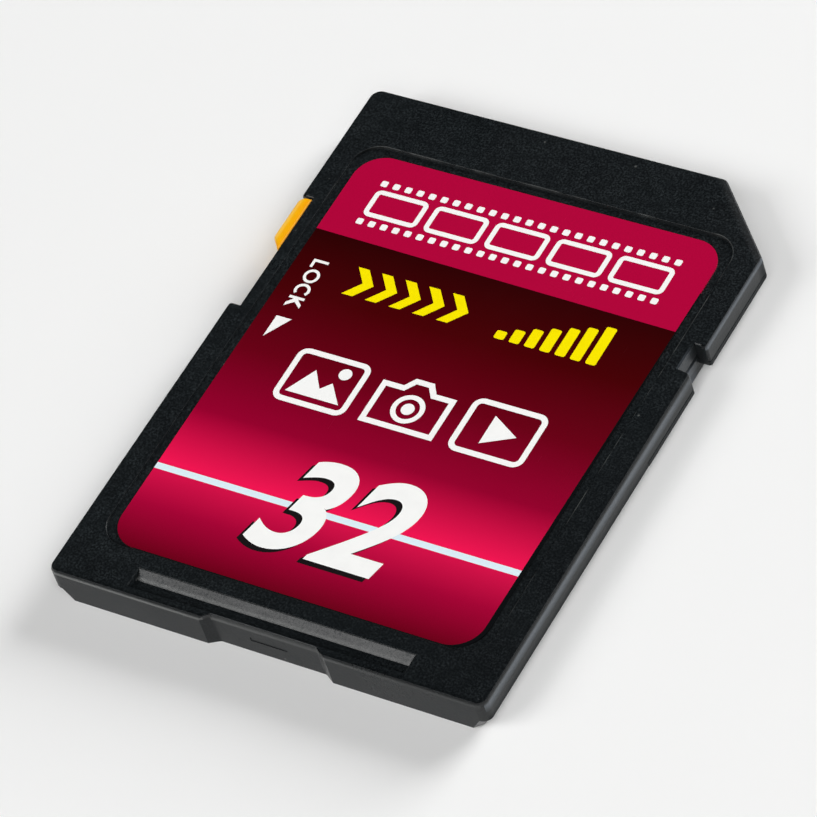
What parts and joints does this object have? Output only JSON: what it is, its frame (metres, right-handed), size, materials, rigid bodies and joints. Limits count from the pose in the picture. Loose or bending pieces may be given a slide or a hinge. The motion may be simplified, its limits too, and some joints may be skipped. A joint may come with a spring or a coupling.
{
  "type": "memory card",
  "caption": "Flat full-size memory card with a cut corner, stepped guide rails, recessed front label, contact windows on the back and a sliding write-protect lock.",
  "frame": {"origin": "middle of the back face", "axes": "+X to the right as the label is read, +Y towards the contact end, +Z out of the labelled face"},
  "size_m": [0.024, 0.032, 0.0021],
  "materials": {
    "black_plastic": "fine spark-eroded grain",
    "amber_plastic": "satin moulded",
    "printed_film": "glossy printed film",
    "board_laminate": "green solder mask",
    "gold_plating": "bright gold plate",
    "chip_resin": "matte moulded resin",
    "capacitor_ceramic": "tan ceramic with tinned ends",
    "resistor_ceramic": "black glaze with tinned ends"
  },
  "bodies": {
    "card": {"front_cover": "black_plastic", "rear_cover": "black_plastic", "front_label": "printed_film", "circuit_board": "board_laminate", "flash_memory_chip": "chip_resin", "controller_chip": "chip_resin", "contact_pad_1": "gold_plating", "contact_pad_2": "gold_plating", "contact_pad_3": "gold_plating", "contact_pad_4": "gold_plating", "contact_pad_5": "gold_plating", "contact_pad_6": "gold_plating", "contact_pad_7": "gold_plating", "contact_pad_8": "gold_plating", "contact_pad_9": "gold_plating", "capacitor_1": "capacitor_ceramic", "capacitor_2": "capacitor_ceramic", "capacitor_3": "capacitor_ceramic", "capacitor_4": "capacitor_ceramic", "capacitor_5": "capacitor_ceramic", "resistor_1": "resistor_ceramic", "resistor_2": "resistor_ceramic", "resistor_3": "resistor_ceramic", "resistor_4": "resistor_ceramic", "resistor_5": "resistor_ceramic", "resistor_6": "resistor_ceramic"},
    "slider": {"lock_slider": "amber_plastic"}
  },
  "joints": [
    {"name": "lock_slide", "type": "slide", "parent": "card", "child": "slider", "axis": [0, -1, 0], "range_m": [0, 0.0036]}
  ]
}
